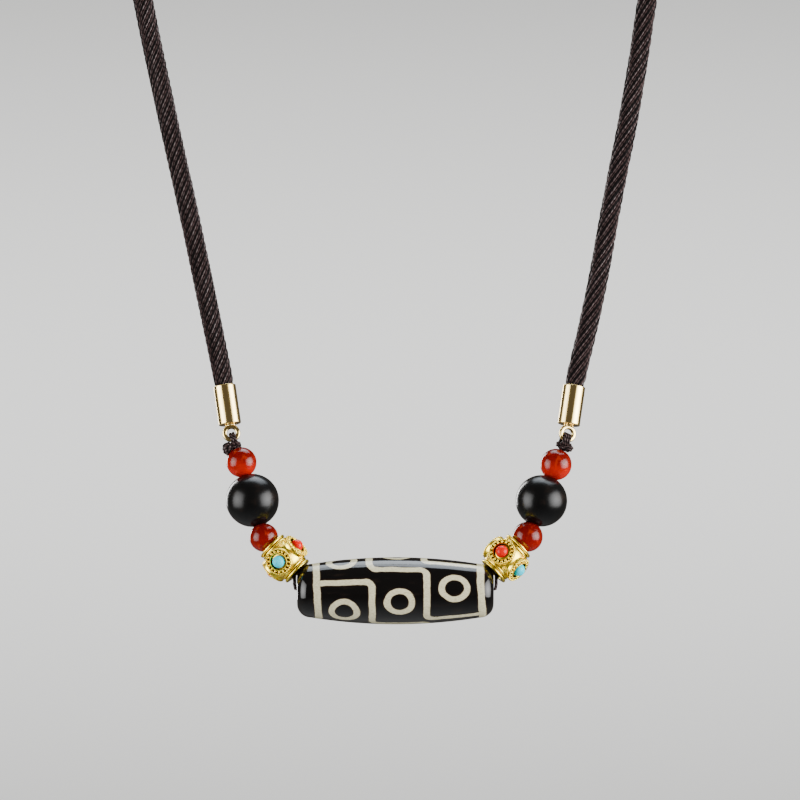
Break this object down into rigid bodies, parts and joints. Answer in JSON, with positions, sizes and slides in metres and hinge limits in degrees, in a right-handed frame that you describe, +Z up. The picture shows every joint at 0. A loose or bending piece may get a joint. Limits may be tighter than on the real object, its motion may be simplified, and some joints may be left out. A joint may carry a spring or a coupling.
{
  "type": "dzi bead necklace",
  "caption": "Necklace as worn: a long patterned agate bead between gold, carnelian and black round beads, knotted to two end caps on a twisted dark rope with a barrel clasp.",
  "frame": {"origin": "inner side of the clasp, at the middle of the nape, where the necklace rests on the back of the neck", "axes": "+Z up as worn, -Y forward from the nape to the chest, +X to the right as seen from the front"},
  "size_m": [0.1113, 0.1005, 0.2355],
  "materials": {
    "patterned_agate": "polished near-black agate with ivory lines and rings",
    "carnelian": "polished translucent orange red",
    "black_onyx": "satin polished black",
    "turquoise": "polished opaque pale blue",
    "coral": "polished opaque red",
    "yellow_gold": "saturated yellow gold, polished with fine granulation",
    "pale_gold": "mirror polished pale gold",
    "thread": "glossy dark brown thread",
    "rope": "twisted glossy dark brown strands"
  },
  "bodies": {
    "root": {"dzi_bead": "patterned_agate", "gold_bead_left": "yellow_gold", "gold_bead_right": "yellow_gold", "turquoise_left_front": "turquoise", "turquoise_left_back": "turquoise", "coral_left_upper": "coral", "coral_left_lower": "coral", "coral_right_front": "coral", "coral_right_back": "coral", "turquoise_right_upper": "turquoise", "turquoise_right_lower": "turquoise", "red_bead_lower_left": "carnelian", "red_bead_lower_right": "carnelian", "red_bead_upper_left": "carnelian", "red_bead_upper_right": "carnelian", "black_bead_left": "black_onyx", "black_bead_right": "black_onyx", "cap_left": "pale_gold", "cap_right": "pale_gold", "thread": "thread", "rope_left": "rope", "rope_right": "rope", "clasp": "pale_gold"}
  },
  "joints": []
}
